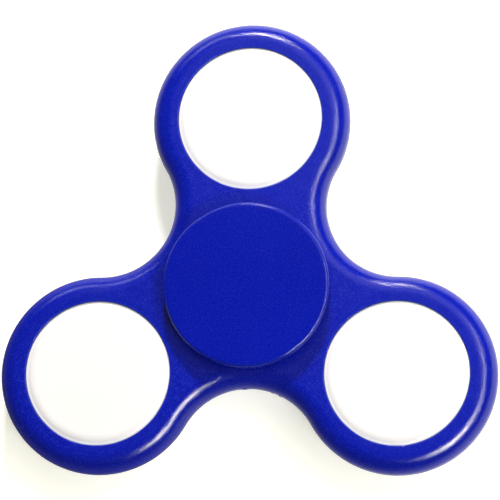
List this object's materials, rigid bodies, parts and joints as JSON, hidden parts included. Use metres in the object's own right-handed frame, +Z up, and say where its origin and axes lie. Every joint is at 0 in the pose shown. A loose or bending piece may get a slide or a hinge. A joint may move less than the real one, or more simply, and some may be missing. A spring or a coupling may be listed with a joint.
{
  "type": "fidget spinner",
  "caption": "Three-lobed fidget spinner: a rounded frame with weighted lobes under white discs turns on a central ball bearing between two round finger pads.",
  "frame": {"origin": "on the spin axis, at the middle of the thickness", "axes": "+Z up along the spin axis, +Y towards one lobe, +X to the right across the two other lobes"},
  "size_m": [0.0758, 0.0698, 0.0122],
  "materials": {
    "frame_blue": "moulded ABS, satin gloss with a very fine texture",
    "pad_blue": "moulded ABS, flat matte face with a polished edge",
    "disc_white": "smooth white, slightly domed",
    "bearing_steel": "ground and polished bearing steel",
    "sheet_steel": "pressed sheet steel",
    "weight_steel": "turned mild steel"
  },
  "bodies": {
    "hub": {"finger_cap_top": "pad_blue", "finger_cap_bottom": "pad_blue", "bearing_inner_race": "bearing_steel"},
    "spinner": {"spinner_frame": "frame_blue", "lobe_disc_top_1": "disc_white", "lobe_disc_top_2": "disc_white", "lobe_disc_top_3": "disc_white", "lobe_disc_bottom_1": "disc_white", "lobe_disc_bottom_2": "disc_white", "lobe_disc_bottom_3": "disc_white", "lobe_weight_1": "weight_steel", "lobe_weight_2": "weight_steel", "lobe_weight_3": "weight_steel", "bearing_outer_race": "bearing_steel", "bearing_shield_top": "sheet_steel", "bearing_shield_bottom": "sheet_steel"},
    "ball_cage": {"bearing_cage_upper": "sheet_steel", "bearing_cage_lower": "sheet_steel"},
    "ball_1": {"bearing_ball_1": "bearing_steel"},
    "ball_2": {"bearing_ball_2": "bearing_steel"},
    "ball_3": {"bearing_ball_3": "bearing_steel"},
    "ball_4": {"bearing_ball_4": "bearing_steel"},
    "ball_5": {"bearing_ball_5": "bearing_steel"},
    "ball_6": {"bearing_ball_6": "bearing_steel"},
    "ball_7": {"bearing_ball_7": "bearing_steel"}
  },
  "joints": [
    {"name": "body_spin", "type": "hinge", "parent": "hub", "child": "spinner", "pos_m": [0, 0, 0], "axis": [0, 0, 1], "continuous": true},
    {"name": "cage_spin", "type": "hinge", "parent": "hub", "child": "ball_cage", "pos_m": [0, 0, 0], "axis": [0, 0, 1], "continuous": true},
    {"name": "ball_1_spin", "type": "hinge", "parent": "ball_cage", "child": "ball_1", "pos_m": [0, 0.0075, 0], "axis": [0, 0, 1], "continuous": true},
    {"name": "ball_2_spin", "type": "hinge", "parent": "ball_cage", "child": "ball_2", "pos_m": [-0.00586, 0.00468, 0], "axis": [0, 0, 1], "continuous": true},
    {"name": "ball_3_spin", "type": "hinge", "parent": "ball_cage", "child": "ball_3", "pos_m": [-0.00731, -0.00167, 0], "axis": [0, 0, 1], "continuous": true},
    {"name": "ball_4_spin", "type": "hinge", "parent": "ball_cage", "child": "ball_4", "pos_m": [-0.00325, -0.00676, 0], "axis": [0, 0, 1], "continuous": true},
    {"name": "ball_5_spin", "type": "hinge", "parent": "ball_cage", "child": "ball_5", "pos_m": [0.00325, -0.00676, 0], "axis": [0, 0, 1], "continuous": true},
    {"name": "ball_6_spin", "type": "hinge", "parent": "ball_cage", "child": "ball_6", "pos_m": [0.00731, -0.00167, 0], "axis": [0, 0, 1], "continuous": true},
    {"name": "ball_7_spin", "type": "hinge", "parent": "ball_cage", "child": "ball_7", "pos_m": [0.00586, 0.00468, 0], "axis": [0, 0, 1], "continuous": true}
  ],
  "couplings": [
    {"joint": "cage_spin", "follows": "body_spin", "ratio": 0.6323},
    {"joint": "ball_1_spin", "follows": "body_spin", "ratio": 1.7573},
    {"joint": "ball_2_spin", "follows": "body_spin", "ratio": 1.7573},
    {"joint": "ball_3_spin", "follows": "body_spin", "ratio": 1.7573},
    {"joint": "ball_4_spin", "follows": "body_spin", "ratio": 1.7573},
    {"joint": "ball_5_spin", "follows": "body_spin", "ratio": 1.7573},
    {"joint": "ball_6_spin", "follows": "body_spin", "ratio": 1.7573},
    {"joint": "ball_7_spin", "follows": "body_spin", "ratio": 1.7573}
  ]
}
